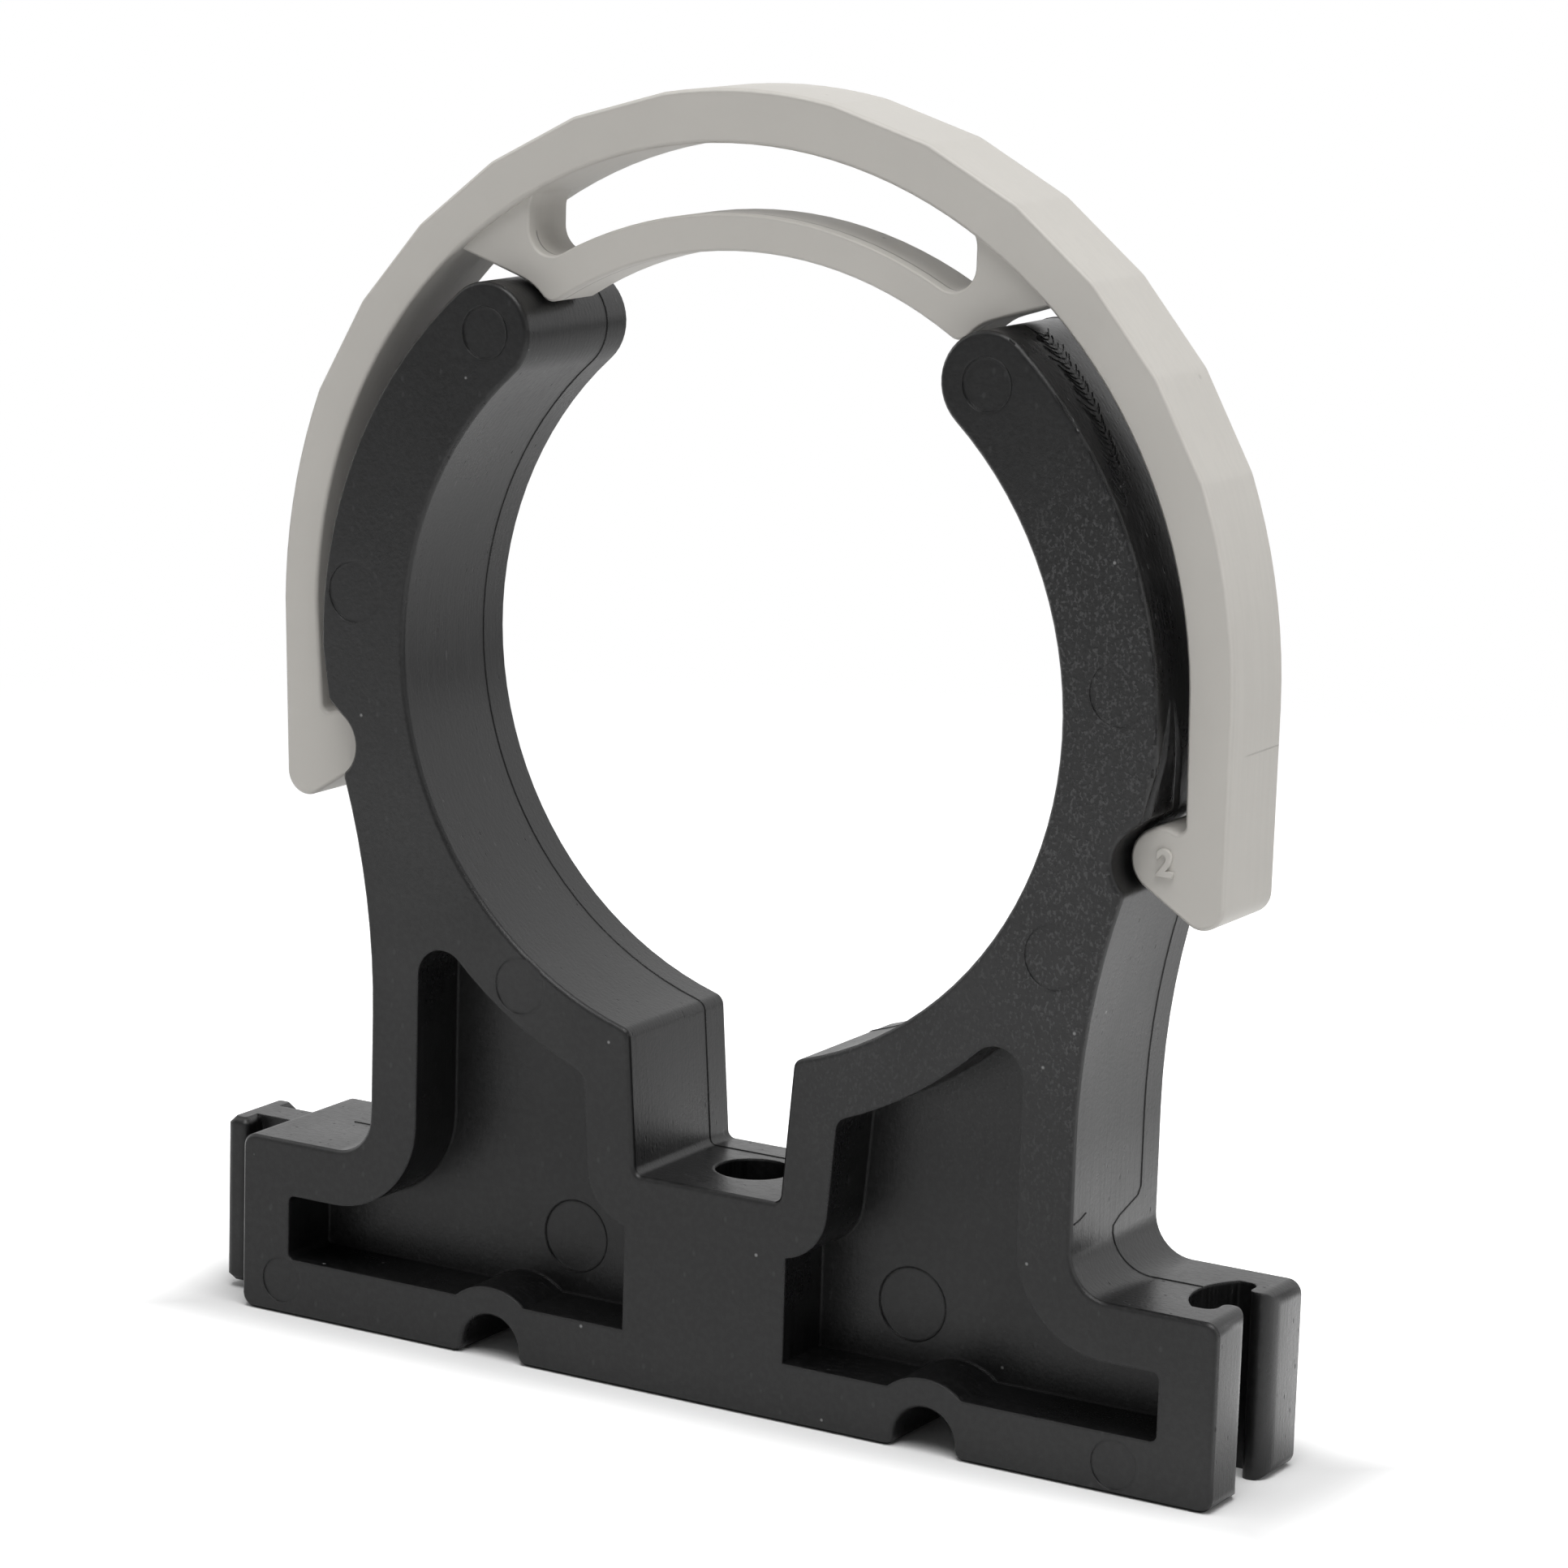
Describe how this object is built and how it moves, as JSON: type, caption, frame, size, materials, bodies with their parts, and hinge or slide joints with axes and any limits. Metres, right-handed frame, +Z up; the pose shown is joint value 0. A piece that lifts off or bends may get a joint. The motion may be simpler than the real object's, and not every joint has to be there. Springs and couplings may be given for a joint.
{
  "type": "pipe clip",
  "caption": "Moulded clip that grips a plastic pipe in a springy C-shaped seat on a screw-down foot, closed by a hook-on retaining strap.",
  "frame": {"origin": "centre of the screw hole on the mounting face", "axes": "+Z up from the mounting face through the screw hole, +Y along the pipe, +X across it towards the coupling socket"},
  "size_m": [0.0992, 0.0154, 0.1087],
  "materials": {
    "black_plastic": "satin moulded, near black",
    "grey_plastic": "satin moulded, warm light grey"
  },
  "bodies": {
    "body": {"clip_body": "black_plastic"},
    "strap": {"retaining_strap": "grey_plastic"}
  },
  "joints": [
    {"name": "strap_slide", "type": "slide", "parent": "body", "child": "strap", "axis": [0, 1, 0], "range_m": [-0.0135, 0.0135]}
  ]
}
